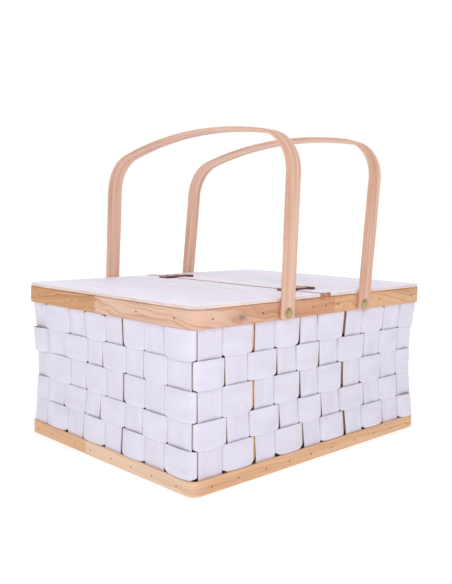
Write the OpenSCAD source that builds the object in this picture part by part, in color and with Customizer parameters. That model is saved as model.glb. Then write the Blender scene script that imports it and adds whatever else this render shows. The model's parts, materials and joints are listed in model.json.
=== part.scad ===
// Two-lid woven picnic basket: split-wood weave on a plywood base, nailed
// bands top and bottom, a fixed centre bar with a leather-hinged lid on each
// side, and two bentwood handles that swing on brass rivets.
// Origin: middle of the underside. X runs along the basket, Z is up.

/* [Body] */
// Length over the base band
base_l = 420; // [400:1:440]
// Width over the base band
base_w = 334; // [320:1:350]
// Height from the floor to the top of the rim
rim_top = 198.5; // [190:0.5:215]
// Outer corner radius of the base band
base_r = 12; // [12:0.5:13]
// Thickness of the plywood base board
board_t = 10; // [8:0.5:12]

/* [Bands] */
// Height of the base band
base_band_h = 17; // [15:1:20]
// Thickness of the base band
base_band_t = 3.4; // [3:0.1:3.6]
// Height of the rim band
rim_band_h = 20.5; // [20:0.5:25]
// How far the rim band stands out past the base band
rim_over = 2; // [1.8:0.1:2.5]
// Thickness of the straight battens inside the rim
batten_t = 5; // [4:0.5:6]
// Length of each half-lap joint in the bands
lap_l = 30; // [20:1:40]

/* [Weave] */
// Upright stakes on each long wall
stakes_long = 10; // [10:1:10]
// Upright stakes on each end wall
stakes_short = 8; // [8:1:8]
// Width of a stake
stake_w = 32; // [26:1:32]
// Thickness of a stake
stake_t = 1.4; // [1:0.1:1.6]
// Thickness of a weaver
weaver_t = 1.4; // [1:0.1:1.6]
// How far a weaver bulges where it passes over a stake
weaver_bulge = 1.2; // [0:0.1:1.5]
// Height of the slit between two rows of weavers
weaver_gap = 0.8; // [0.4:0.1:2]

/* [Lids] */
// Thickness of the plywood lids
lid_t = 4.5; // [4:0.1:5]
// How far the lids stay inside the rim's outer face
lid_inset = 0.6; // [0.5:0.1:4]
// Outer corner radius of the lids
lid_r = 14; // [5:1:20]
// Width of the fixed centre bar
bar_w = 18; // [16:1:24]
// Thickness of the centre bar
bar_t = 5.9; // [5.4:0.1:6]
// Gap between the bar and each lid
seam = 0.5; // [0.4:0.1:1]

/* [Leather hinge straps] */
// Length of a strap across both seams
strap_l = 51; // [46:1:70]
// Width of a strap
strap_w = 20; // [14:1:26]
// Thickness of the leather
strap_t = 2.4; // [1.8:0.1:2.6]
// Distance of the front strap from the middle of the bar
strap_front_y = 121; // [80:1:140]
// Distance of the back strap from the middle of the bar
strap_back_y = 112; // [80:1:140]

/* [Handles] */
// Distance of each handle's rivets from the middle of the basket
rivet_x = 72.5; // [72.5:0.5:73]
// Height of the rivets above the floor, measured down from the rim top
rivet_drop = 13; // [12:0.5:14]
// Width of a handle strip
handle_w = 22; // [18:1:24]
// Thickness of a handle strip
handle_t = 4.2; // [3.6:0.1:5]
// Height of the crown above the rivets, at the middle of the strip
handle_h = 214.5; // [205:0.5:225]
// Bend radius between the legs and the crown
bend_r = 50; // [40:1:54]
// Radius of the crown's gentle arch
crown_r = 600; // [550:10:800]
// Sideways place of the crown's highest point
crown_shift = -38; // [-40:1:25]
// Lean of the left handle at rest, towards the middle
left_lean = 2; // [0:0.5:6]
// Lean of the right handle at rest, away from the middle
right_lean = 5.5; // [0:0.5:6]
// Radius of a rivet's shank
rivet_r = 2.5; // [2:0.1:2.7]
// Radius of a rivet's domed head
head_r = 6; // [5:0.5:7]

/* [Hidden] */
$fn = 48;

// Small slack between pieces that lie against each other in the wall
slack = 0.1;
// Clearance between pieces that move past each other
clear = 0.3;
// Running clearance of the handle bores on the rivets
bore_slack = 0.05;

// Half sizes of the wall's layers, as [x, y]
base_half = [base_l / 2, base_w / 2];
stake_out = base_half - [1, 1] * (base_band_t + slack);
stake_mid = stake_out - [1, 1] * stake_t / 2;
stake_in = stake_out - [1, 1] * stake_t;
board_half = stake_in - [1, 1] * slack;
batten_in = board_half - [1, 1] * batten_t;
rim_half = base_half + [1, 1] * rim_over;
rim_band_t = base_band_t + rim_over - slack;
rim_r = base_r + rim_over;
stake_top = rim_top - 1;

// The long battens stop this far short of the rounded corners
batten_short = 3;
batten_half_l = board_half.x - batten_short;

// Spacing of the stakes on the long and the end walls
pitch_long = (base_l - 16) / stakes_long;
pitch_short = (base_w - 14) / stakes_short;

// Weaver rows fill the wall between the two bands, row 1 at the top
rows = 5;
weave_low = base_band_h;
weave_high = rim_top - rim_band_h;
row_pitch = (weave_high - weave_low) / rows;
weave_off = (stake_t + weaver_t) / 2 + slack / 2;
weave_corner_r = 7;
corner_steps = 6;

// Laps: the outer tongue of a band ends here
rim_lap_x = 16;
rim_lap_y = 10;
base_lap_y = 34;

// Nails
nail_r = 0.7;
nail_head_r = 1.3;
nail_head_t = 0.4;
rim_nail_l = 11.5;
base_nail_l = 16;
bar_nail_l = 14;
nail_sink = 0.1;
rim_nail_z = rim_top - rim_band_h / 2;
base_nail_z = 7.5;
rim_nails_long = [-186, -110, -24, 0, 24, 110, 186];
rim_nails_short = [-138, -72, 58, 138];
lap_nail_dz = 5;

// Lids, bar and straps
lid_low = rim_top + clear;
lid_top = lid_low + lid_t;
lid_half_y = rim_half.y - lid_inset;
lid_out_x = rim_half.x - lid_inset;
lid_in_x = bar_w / 2 + seam;
bar_top = rim_top + bar_t;
hinge_x = (bar_w / 2 + lid_in_x) / 2;
hinge_gap = 1.05;
screw_x = hinge_x + 9;
screw_r = 1.2;
screw_head_r = 2.8;
screw_head_t = 1.2;
lid_screw_l = 3.4;

// Handles
pivot_z = rim_top - rivet_drop;
leg_end = rim_band_h - rivet_drop;
leg_y = rim_half.y + clear + handle_t / 2;
leg_end_r = 4;
bend_y = leg_y - bend_r;
crown_c = handle_h - crown_r;
front_bend_h = bend_height(-bend_y);
back_bend_h = bend_height(bend_y);
bend_steps = 10;
crown_steps = 14;
head_gap = 0.25;
head_t = 2.3;
head_sphere_r = (head_r * head_r + head_t * head_t) / (2 * head_t);
head_y = leg_y + handle_t / 2 + head_gap;
washer_r = 5;
washer_t = 1;
peen_r = 3.6;
peen_t = 1.2;

// Height of a bend's centre, so that it meets the crown's arc smoothly
function bend_height(y) =
    crown_c + sqrt(pow(crown_r - bend_r, 2) - pow(y - crown_shift, 2));

// Rounded rectangle from true arcs
module round_rect(half, r) {
    square([2 * half.x, 2 * (half.y - r)], center = true);
    square([2 * (half.x - r), 2 * half.y], center = true);
    for (sx = [-1, 1], sy = [-1, 1])
        translate([sx * (half.x - r), sy * (half.y - r)]) circle(r);
}

// Ring between two depths below the outer faces
module ring(half, r, from, to) {
    difference() {
        round_rect(half - [1, 1] * from, r - from);
        round_rect(half - [1, 1] * to, r - to);
    }
}

// Quarter of the plane below and to the left of a corner
module low_left(x, y) {
    translate([x - 600, y - 600]) square(600);
}

// Quarter of the plane below and to the right of a corner
module low_right(x, y) {
    translate([x, y - 600]) square(600);
}

// ---- Base -------------------------------------------------------------

module base_board() {
    color("burlywood")
    linear_extrude(board_t)
        round_rect(board_half, base_r - 4);
}

module base_band() {
    color("tan")
    linear_extrude(base_band_h) {
        intersection() {
            ring(base_half, base_r, 0, base_band_t);
            union() {
                low_left(0, base_lap_y - lap_l);
                low_right(0, -base_lap_y);
            }
        }
        intersection() {
            ring(base_half, base_r, 0, base_band_t / 2);
            low_left(0, base_lap_y);
        }
        intersection() {
            ring(base_half, base_r, base_band_t / 2, base_band_t);
            low_right(0, lap_l - base_lap_y);
        }
    }
}

// ---- Weave ------------------------------------------------------------

module stake_row(count, pitch, y) {
    for (i = [0 : count - 1])
        translate([(i - (count - 1) / 2) * pitch - stake_w / 2, y, 0])
            cube([stake_w, stake_t, stake_top]);
}

module rivet_holes(r) {
    for (sx = [-1, 1], sy = [-1, 1])
        translate([sx * rivet_x, sy * leg_y, pivot_z])
            rotate([90, 0, 0]) cylinder(h = 60, r = r, center = true);
}

module stakes_long_wall() {
    color("white")
    difference() {
        stake_row(stakes_long, pitch_long, -stake_out.y);
        rivet_holes(rivet_r);
    }
}

module stakes_end_wall() {
    color("white")
    rotate(90) stake_row(stakes_short, pitch_short, -stake_out.x);
}

// Points of one wall of a weaver as [distance along the wall, offset out]
function wall_wave(count, pitch, first, row) = [
    for (i = [0 : count - 1], e = [-1, 0, 1])
        let (over = (first + i + row) % 2 == 0 ? 1 : -1)
        [
            (i - (count - 1) / 2) * pitch + e * stake_w / 2,
            over * weave_off + (e == 0 && over > 0 ? weaver_bulge : 0)
        ]
];

// Corner arc as [angle step, offset out], between two walls
function corner_wave(from, to) = [
    for (k = [1 : corner_steps - 1]) [k / corner_steps, from + (to - from) * k / corner_steps]
];

// Closed outline of a weaver; shift moves it to the outer or inner face
function weaver_outline(row, shift) =
    let (
        n = stakes_long,
        m = stakes_short,
        hx = stake_mid.x,
        hy = stake_mid.y,
        r = weave_corner_r,
        front = wall_wave(n, pitch_long, m, row),
        right = wall_wave(m, pitch_short, m + n, row),
        back = wall_wave(n, pitch_long, 2 * m + n, row),
        left = wall_wave(m, pitch_short, 0, row),
        off = weave_off * (row % 2 == 0 ? -1 : 1)
    )
    concat(
        [for (p = front) [p[0], -hy - p[1] - shift]],
        [for (c = corner_wave(off, -off))
            [hx - r, r - hy] + (r + c[1] + shift) * [sin(90 * c[0]), -cos(90 * c[0])]],
        [for (p = right) [hx + p[1] + shift, p[0]]],
        [for (c = corner_wave(off, -off))
            [hx - r, hy - r] + (r + c[1] + shift) * [cos(90 * c[0]), sin(90 * c[0])]],
        [for (p = back) [-p[0], hy + p[1] + shift]],
        [for (c = corner_wave(off, -off))
            [r - hx, hy - r] + (r + c[1] + shift) * [-sin(90 * c[0]), cos(90 * c[0])]],
        [for (p = left) [-hx - p[1] - shift, -p[0]]],
        [for (c = corner_wave(off, -off))
            [r - hx, r - hy] + (r + c[1] + shift) * [-cos(90 * c[0]), -sin(90 * c[0])]]
    );

module weaver(row) {
    color("ghostwhite")
    translate([0, 0, weave_high - row * row_pitch + weaver_gap / 2])
    linear_extrude(row_pitch - weaver_gap)
    difference() {
        polygon(weaver_outline(row, weaver_t / 2));
        polygon(weaver_outline(row, -weaver_t / 2));
    }
}

// ---- Rim --------------------------------------------------------------

module rim_quarter(shape) {
    color("burlywood")
    difference() {
        translate([0, 0, rim_top - rim_band_h]) linear_extrude(rim_band_h) children();
        rivet_holes(rivet_r);
    }
}

// Corner strip whose two ends lie on the outside of their laps
module rim_outer_ends() {
    intersection() {
        ring(rim_half, rim_r, 0, rim_band_t);
        low_left(rim_lap_x - lap_l, rim_lap_y - lap_l);
    }
    intersection() {
        ring(rim_half, rim_r, 0, rim_band_t / 2);
        low_left(rim_lap_x, rim_lap_y);
    }
}

// Corner strip whose two ends lie on the inside of their laps
module rim_inner_ends() {
    intersection() {
        ring(rim_half, rim_r, 0, rim_band_t);
        low_right(rim_lap_x, -rim_lap_y);
    }
    intersection() {
        ring(rim_half, rim_r, rim_band_t / 2, rim_band_t);
        low_right(rim_lap_x - lap_l, lap_l - rim_lap_y);
    }
}

module rim_batten_long() {
    color("burlywood")
    difference() {
        translate([-batten_half_l, -board_half.y, rim_top - rim_band_h])
            cube([2 * batten_half_l, batten_t, rim_band_h]);
        rivet_holes(rivet_r);
    }
}

module rim_batten_end() {
    color("burlywood")
    translate([-board_half.x, -batten_in.y, rim_top - rim_band_h])
        cube([batten_t, 2 * batten_in.y, rim_band_h]);
}

// ---- Nails ------------------------------------------------------------

// Nail driven along +Y, with its head's face at y = 0
module nail(length) {
    rotate([-90, 0, 0]) {
        cylinder(h = nail_head_t, r = nail_head_r);
        cylinder(h = length, r = nail_r);
    }
}

// Nails driven into the front wall at distances xs along it
module wall_nails(xs, depth, z, length) {
    for (x = xs)
        translate([x, nail_sink - depth, z]) nail(length);
}

module base_nails() {
    long_xs = [for (i = [0 : stakes_long - 1]) (i - (stakes_long - 1) / 2) * pitch_long];
    short_xs = [for (i = [0 : stakes_short - 1]) (i - (stakes_short - 1) / 2) * pitch_short];
    color("dimgray")
    for (a = [0, 180])
        rotate(a) {
            wall_nails(long_xs, base_half.y, base_nail_z, base_nail_l);
            rotate(-90) wall_nails(short_xs, base_half.x, base_nail_z, base_nail_l);
        }
}

module rim_nails() {
    color("dimgray")
    for (a = [0, 180])
        rotate(a) {
            wall_nails(rim_nails_long, rim_half.y, rim_nail_z, rim_nail_l);
            rotate(-90) {
                wall_nails([for (y = rim_nails_short) -y], rim_half.x, rim_nail_z, rim_nail_l);
                for (dz = [-1, 1])
                    wall_nails([3 - rim_lap_y], rim_half.x, rim_nail_z + dz * lap_nail_dz, rim_nail_l);
            }
        }
}

// ---- Lids and centre bar ----------------------------------------------

module centre_bar() {
    color("lavender")
    translate([-bar_w / 2, -lid_half_y, rim_top])
        cube([bar_w, 2 * lid_half_y, bar_t]);
}

module bar_nails() {
    y = (batten_in.y + board_half.y) / 2;
    color("dimgray")
    for (sx = [-1, 1], sy = [-1, 1])
        translate([sx * bar_w / 4, sy * y, bar_top - nail_sink])
            rotate([-90, 0, 0]) nail(bar_nail_l);
}

module lid() {
    color("lavender")
    translate([0, 0, lid_low]) linear_extrude(lid_t)
    intersection() {
        round_rect([lid_out_x, lid_half_y], lid_r);
        translate([-lid_out_x, -lid_half_y])
            square([lid_out_x - lid_in_x, 2 * lid_half_y]);
    }
}

// Middle of the front (-1) or back (1) strap along the bar
function strap_place(side) = side < 0 ? -strap_front_y : strap_back_y;

// Part of a strap between two distances from the middle, on a surface
module strap_part(from, to, side, z) {
    color("saddlebrown")
    translate([from, strap_place(side) - strap_w / 2, z])
        cube([to - from, strap_w, strap_t]);
}

module strap_tab(side) {
    strap_part(-strap_l / 2, -hinge_x - hinge_gap, side, lid_top);
}

module strap_middle(side) {
    strap_part(hinge_gap - hinge_x, hinge_x - hinge_gap, side, bar_top);
}

// Domed wood screws through both straps at one distance from the middle
module strap_screws(x, surface) {
    color("goldenrod")
    for (side = [-1, 1])
        translate([x, strap_place(side), surface + strap_t]) {
            cylinder(h = screw_head_t / 2, r = screw_head_r);
            translate([0, 0, screw_head_t / 2])
                cylinder(h = screw_head_t / 2, r1 = screw_head_r, r2 = screw_head_r / 2);
            translate([0, 0, -strap_t - lid_screw_l])
                cylinder(h = strap_t + lid_screw_l, r = screw_r);
        }
}

// ---- Handles ----------------------------------------------------------

// Middle line of the strip from the front leg's end to the back leg's,
// as [y, height above the rivets, normal y, normal height]
function strip_line() =
    let (
        front_turn = acos((bend_y + crown_shift) / (crown_r - bend_r)),
        back_turn = acos((bend_y - crown_shift) / (crown_r - bend_r))
    )
    concat(
        [[-leg_y, -leg_end, -1, 0]],
        [for (k = [0 : bend_steps])
            let (a = front_turn * k / bend_steps)
            [-bend_y - bend_r * cos(a), front_bend_h + bend_r * sin(a), -cos(a), sin(a)]],
        [for (k = [1 : crown_steps - 1])
            let (a = front_turn + (180 - back_turn - front_turn) * k / crown_steps)
            [crown_shift - crown_r * cos(a), crown_c + crown_r * sin(a), -cos(a), sin(a)]],
        [for (k = [bend_steps : -1 : 0])
            let (a = back_turn * k / bend_steps)
            [bend_y + bend_r * cos(a), back_bend_h + bend_r * sin(a), cos(a), sin(a)]],
        [[leg_y, -leg_end, 1, 0]]
    );

function strip_side(line, d) = [for (p = line) [p[0] + d * p[2], p[1] + d * p[3]]];

function reversed(list) = [for (k = [len(list) - 1 : -1 : 0]) list[k]];

// Upright handle in its own frame, rivet axis along Y through the origin
module handle_strip() {
    line = strip_line();
    intersection() {
        rotate([90, 0, 90])
        linear_extrude(handle_w, center = true)
            polygon(concat(strip_side(line, handle_t / 2), reversed(strip_side(line, -handle_t / 2))));
        rotate([90, 0, 0])
        linear_extrude(2 * leg_y + 2 * handle_t, center = true)
            union() {
                translate([-handle_w / 2, leg_end_r - leg_end])
                    square([handle_w, 2 * handle_h]);
                translate([leg_end_r - handle_w / 2, -leg_end])
                    square([handle_w - 2 * leg_end_r, leg_end_r]);
                for (sx = [-1, 1])
                    translate([sx * (handle_w / 2 - leg_end_r), leg_end_r - leg_end])
                        circle(leg_end_r);
            }
    }
}

module handle(x, lean) {
    color("wheat")
    translate([x, 0, pivot_z])
    rotate([0, lean, 0])
    difference() {
        handle_strip();
        rotate([90, 0, 0])
            cylinder(h = 3 * leg_y, r = rivet_r + bore_slack, center = true);
    }
}

// Rivet pointing along -Y: domed head outside, peened end inside
module rivet() {
    inner_y = batten_in.y - washer_t;
    translate([0, -inner_y, 0]) rotate([90, 0, 0]) {
        cylinder(h = head_y - inner_y + head_t / 2, r = rivet_r);
        translate([0, 0, -peen_t]) cylinder(h = peen_t, r1 = rivet_r, r2 = peen_r);
        intersection() {
            translate([0, 0, head_y - inner_y + head_t - head_sphere_r]) sphere(head_sphere_r);
            translate([0, 0, head_y - inner_y]) cylinder(h = head_t + 1, r = head_r);
        }
    }
}

module handle_rivets() {
    color("goldenrod")
    for (a = [0, 180], sx = [-1, 1])
        rotate(a) translate([sx * rivet_x, 0, pivot_z]) rivet();
}

module rivet_washers() {
    color("darkgoldenrod")
    for (a = [0, 180], sx = [-1, 1])
        rotate(a) translate([sx * rivet_x, washer_t - batten_in.y, pivot_z])
            rotate([90, 0, 0]) difference() {
                cylinder(h = washer_t, r = washer_r);
                translate([0, 0, -1]) cylinder(h = washer_t + 2, r = rivet_r);
            }
}

base_board();
stakes_long_wall();  // stakes_front
rotate(180) stakes_long_wall();  // stakes_back
rotate(180) stakes_end_wall();  // stakes_left
stakes_end_wall();  // stakes_right
weaver(1);  // weaver_1
weaver(2);  // weaver_2
weaver(3);  // weaver_3
weaver(4);  // weaver_4
weaver(5);  // weaver_5
base_band();  // base_band_front
rotate(180) base_band();  // base_band_back
rim_quarter() rim_outer_ends();  // rim_band_front_left
rim_quarter() rim_inner_ends();  // rim_band_front_right
rotate(180) rim_quarter() rim_outer_ends();  // rim_band_back_right
rotate(180) rim_quarter() rim_inner_ends();  // rim_band_back_left
rim_batten_long();  // rim_batten_front
rotate(180) rim_batten_long();  // rim_batten_back
rim_batten_end();  // rim_batten_left
rotate(180) rim_batten_end();  // rim_batten_right
base_nails();
rim_nails();
centre_bar();
bar_nails();
lid();  // lid_left
rotate(180) lid();  // lid_right
strap_tab(-1);  // strap_front_left
strap_middle(-1);  // strap_front_centre
mirror([1, 0, 0]) strap_tab(-1);  // strap_front_right
strap_tab(1);  // strap_back_left
strap_middle(1);  // strap_back_centre
mirror([1, 0, 0]) strap_tab(1);  // strap_back_right
strap_screws(-screw_x, lid_top);  // strap_screws_left
strap_screws(0, bar_top);  // strap_screws_centre
strap_screws(screw_x, lid_top);  // strap_screws_right
handle(-rivet_x, left_lean);  // handle_left
handle(rivet_x, right_lean);  // handle_right
handle_rivets();
rivet_washers();
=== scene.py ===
import json
import math
import random

import bmesh
import bpy
import numpy as np
from mathutils import Matrix, Vector


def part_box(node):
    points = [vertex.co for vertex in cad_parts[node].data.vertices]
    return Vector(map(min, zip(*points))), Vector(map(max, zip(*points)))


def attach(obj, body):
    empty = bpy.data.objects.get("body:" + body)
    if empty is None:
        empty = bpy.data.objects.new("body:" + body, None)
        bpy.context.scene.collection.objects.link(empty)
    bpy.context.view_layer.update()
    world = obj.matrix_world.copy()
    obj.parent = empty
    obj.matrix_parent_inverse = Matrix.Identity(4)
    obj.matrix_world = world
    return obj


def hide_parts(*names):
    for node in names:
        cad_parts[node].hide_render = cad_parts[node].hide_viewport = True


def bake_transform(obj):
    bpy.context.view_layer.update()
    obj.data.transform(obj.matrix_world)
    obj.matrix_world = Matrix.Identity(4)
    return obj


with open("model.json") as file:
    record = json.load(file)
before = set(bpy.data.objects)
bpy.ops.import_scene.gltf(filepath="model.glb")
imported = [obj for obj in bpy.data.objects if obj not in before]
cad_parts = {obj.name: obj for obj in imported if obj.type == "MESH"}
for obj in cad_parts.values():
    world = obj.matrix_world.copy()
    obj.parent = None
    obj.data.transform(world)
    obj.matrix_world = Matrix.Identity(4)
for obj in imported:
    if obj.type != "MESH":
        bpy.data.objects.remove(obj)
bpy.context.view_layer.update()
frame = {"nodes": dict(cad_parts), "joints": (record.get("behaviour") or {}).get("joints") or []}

# Shapes below are worked out in millimetres, and scaled to metres when a piece is made
MM = 0.001


# ---- Sizes taken from the CAD frame ------------------------------------

def node_box(node):
    """Lowest and highest corner of a CAD node, in millimetres."""
    low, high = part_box(node)
    return np.array(low) / MM, np.array(high) / MM


def middle_y(node):
    """Middle of a CAD node from front to back."""
    low, high = node_box(node)
    return (low[1] + high[1]) / 2


base_low, base_high = node_box("base_band_front")
rim_low, rim_high = node_box("rim_band_front_left")
stake_low, stake_high = node_box("stakes_front")
lid_low, lid_high = node_box("lid_left")
bar_low, bar_high = node_box("centre_bar")
tab_low, tab_high = node_box("strap_front_left")

BASE_HALF = (-base_low[0], -base_low[1])
BASE_TOP = base_high[2]
BASE_T = 3.4
BASE_R = 12
RIM_HALF = (-rim_low[0], -rim_low[1])
RIM_BOTTOM, RIM_TOP = rim_low[2], rim_high[2]
RIM_T = 5.3
RIM_R = 14
STAKE_T = stake_high[1] - stake_low[1]
STAKE_TOP = stake_high[2]
WALL_HALF = (-node_box("stakes_left")[0][0] - STAKE_T / 2, -stake_low[1] - STAKE_T / 2)
LID_OUT, LID_IN, LID_HALF_Y = -lid_low[0], -lid_high[0], lid_high[1]
LID_BOTTOM, LID_TOP = lid_low[2], lid_high[2]
BAR_TOP = bar_high[2]
STRAP_END = -tab_low[0]
STRAP_YS = (middle_y("strap_front_left"), middle_y("strap_back_left"))
STRAP_W, STRAP_T = tab_high[1] - tab_low[1], tab_high[2] - tab_low[2]
joint_at = {joint["name"]: np.array(joint["pos_m"]) / MM for joint in frame["joints"]}


# ---- Building meshes ---------------------------------------------------

def strip_section(outer_points, inner_points):
    """Rounded outline of a flat strip: how far across and out each point is,
    and how many edge radii it moves each way."""
    def corner(across, out, angles):
        return [
            (across, (1 if across == 0 else -1) + math.cos(math.radians(a)),
             out, (-1 if out == 1 else 1) + math.sin(math.radians(a)))
            for a in angles
        ]

    def face(out, count):
        shares = [0.03] + list(np.linspace(0, 1, count + 2)[1:-1]) + [0.97]
        return [(t, 1 - 2 * t, out, 0.0) for t in shares]

    return np.array(
        corner(0, 1, (180, 135, 90)) + face(1, outer_points) + corner(1, 1, (90, 45, 0))
        + corner(1, 0, (0, -45, -90)) + face(0, inner_points)[::-1] + corner(0, 0, (-90, -135, -180))
    )


FINE = strip_section(22, 6)
PLAIN = strip_section(9, 5)
UP = (0.0, 0.0, 1.0)


class Piece:
    """Collects closed solids into one mesh, with a grain coordinate in millimetres,
    a paint share and a tint share on every point."""

    def __init__(self, name):
        self.name = name
        self.points, self.faces = [], []
        self.grain, self.paint, self.tint = [], [], []
        self.count = 0

    def add(self, points, faces, grain, paint=0.0, tint=0.5):
        """One more solid. paint and tint are one share, or one for each point."""
        points = np.asarray(points, float).reshape(-1, 3)
        total = len(points)
        self.points.append(points)
        self.faces += [[int(i) + self.count for i in face] for face in faces]
        self.grain.append(np.asarray(grain, float).reshape(-1, 3))
        self.paint.append(np.broadcast_to(np.asarray(paint, float).reshape(-1), (total,)).copy())
        self.tint.append(np.broadcast_to(np.asarray(tint, float).reshape(-1), (total,)).copy())
        self.count += total

    def sweep(self, section, origin, out, across, low, high, inner, outer, radius, along,
              seed=0.0, paint=0.0, edge_paint=None, tint=0.5, inner_tint=None, relief=None, closed=False):
        """A strip through stations. At each one it runs from low to high along across
        and from inner to outer along out. paint is only on its outer face, and inner_tint
        is its inner face's own tint."""
        stations, ring = len(along), len(section)
        across, out = np.broadcast_to(across, origin.shape), np.broadcast_to(out, origin.shape)

        def full(value):
            return np.broadcast_to(np.asarray(value, float), (stations,))[:, None]

        share_a, radii_a, share_d, radii_d = section.T
        a = full(low) * (1 - share_a) + full(high) * share_a + radii_a * full(radius)
        d = full(inner) * (1 - share_d) + full(outer) * share_d + radii_d * full(radius)
        if relief is not None:
            d = d + relief(a, share_d)
        points = origin[:, None, :] + a[..., None] * across[:, None, :] + d[..., None] * out[:, None, :]
        index = np.arange(stations * ring).reshape(stations, ring)
        here, there = (index, np.roll(index, -1, axis=0)) if closed else (index[:-1], index[1:])
        quads = np.stack([here, np.roll(here, -1, 1), np.roll(there, -1, 1), there], -1).reshape(-1, 4)
        faces = quads.tolist()
        if not closed:
            faces += [index[0][::-1].tolist(), index[-1].tolist()]
        grain = np.stack([full(along) + seed * 977 + 0 * a, a + seed * 131, d + 0 * a], -1)
        shade = full(paint) * share_d
        if edge_paint is not None:
            shade = np.where((share_a == 0) | (share_a == 1), edge_paint, shade)
        toned = full(tint) * share_d + full(tint if inner_tint is None else inner_tint) * (1 - share_d)
        self.add(points, faces, grain, shade, toned + 0 * a)

    def lathe(self, centre, axis, profile, segments, seed):
        """A turned solid: profile holds (radius, distance along axis). It starts and ends at
        radius 0, or it closes on itself as a ring."""
        axis = Vector(axis).normalized()
        side = axis.orthogonal().normalized()
        up = axis.cross(side)
        points, rings = [], []
        for radius, height in profile:
            if radius == 0:
                rings.append([len(points)] * segments)
                points.append(Vector(centre) + axis * height)
                continue
            rings.append(list(range(len(points), len(points) + segments)))
            for k in range(segments):
                turn = 2 * math.pi * k / segments
                points.append(Vector(centre) + axis * height
                              + side * radius * math.cos(turn) + up * radius * math.sin(turn))
        faces = []
        for lower, upper in zip(rings, rings[1:] + ([rings[0]] if profile[0][0] else [])):
            for k in range(segments):
                n = (k + 1) % segments
                loop = [lower[k], lower[n], upper[n], upper[k]]
                faces.append([v for i, v in enumerate(loop) if v not in loop[:i]])
        points = np.array(points)
        self.add(points, [face for face in faces if len(face) > 2], points + seed * 57)

    def plate(self, outline, low, high, edge, top_paint, side_paint, bottom_paint, turned=False):
        """A flat board with eased edges. outline(inset) gives its points."""
        eased = edge * 0.3
        levels = [
            (3 * edge, low, bottom_paint), (edge, low, bottom_paint), (eased, low + eased, bottom_paint),
            (0, low + edge, side_paint), (0, (low + high) / 2, side_paint), (0, high - edge, side_paint),
            (eased, high - eased, top_paint), (edge, high, top_paint), (3 * edge, high, top_paint),
        ]
        points, paints = [], []
        for inset, height, paint in levels:
            flat = outline(inset)
            points += [(x, y, height) for x, y in flat]
            paints += [paint] * len(flat)
        ring = len(flat)
        index = np.arange(len(points)).reshape(len(levels), ring)
        faces = np.stack([index[:-1], np.roll(index[:-1], -1, 1), np.roll(index[1:], -1, 1), index[1:]],
                         -1).reshape(-1, 4).tolist()
        faces += [index[0][::-1].tolist(), index[-1].tolist()]
        grain = np.array(points)[:, [1, 0, 2]] if turned else np.array(points)
        self.add(points, faces, grain, paints)

    def make(self, material, slot, body, *nodes):
        """The finished object, standing for its CAD nodes and riding on their body, if one is named."""
        mesh = bpy.data.meshes.new(self.name)
        mesh.from_pydata((np.concatenate(self.points) * MM).tolist(), [], self.faces)
        vector = mesh.attributes.new("grain", "FLOAT_VECTOR", "POINT")
        vector.data.foreach_set("vector", np.concatenate(self.grain).astype(np.float32).ravel())
        for label, values in (("paint", self.paint), ("tint", self.tint)):
            share = mesh.attributes.new(label, "FLOAT", "POINT")
            share.data.foreach_set("value", np.concatenate(values).astype(np.float32))
        tidy = bmesh.new()
        tidy.from_mesh(mesh)
        bmesh.ops.recalc_face_normals(tidy, faces=tidy.faces)
        tidy.to_mesh(mesh)
        tidy.free()
        mesh.shade_smooth()
        mesh.materials.append(material)
        piece = bpy.data.objects.new(self.name + "_visual", mesh)
        bpy.context.scene.collection.objects.link(piece)
        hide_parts(*nodes)
        if body:
            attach(piece, body)
        return piece


def smooth(x):
    """Eases from 0 to 1 as x does."""
    x = np.clip(x, 0, 1)
    return x * x * (3 - 2 * x)


# ---- Materials ---------------------------------------------------------

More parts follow.
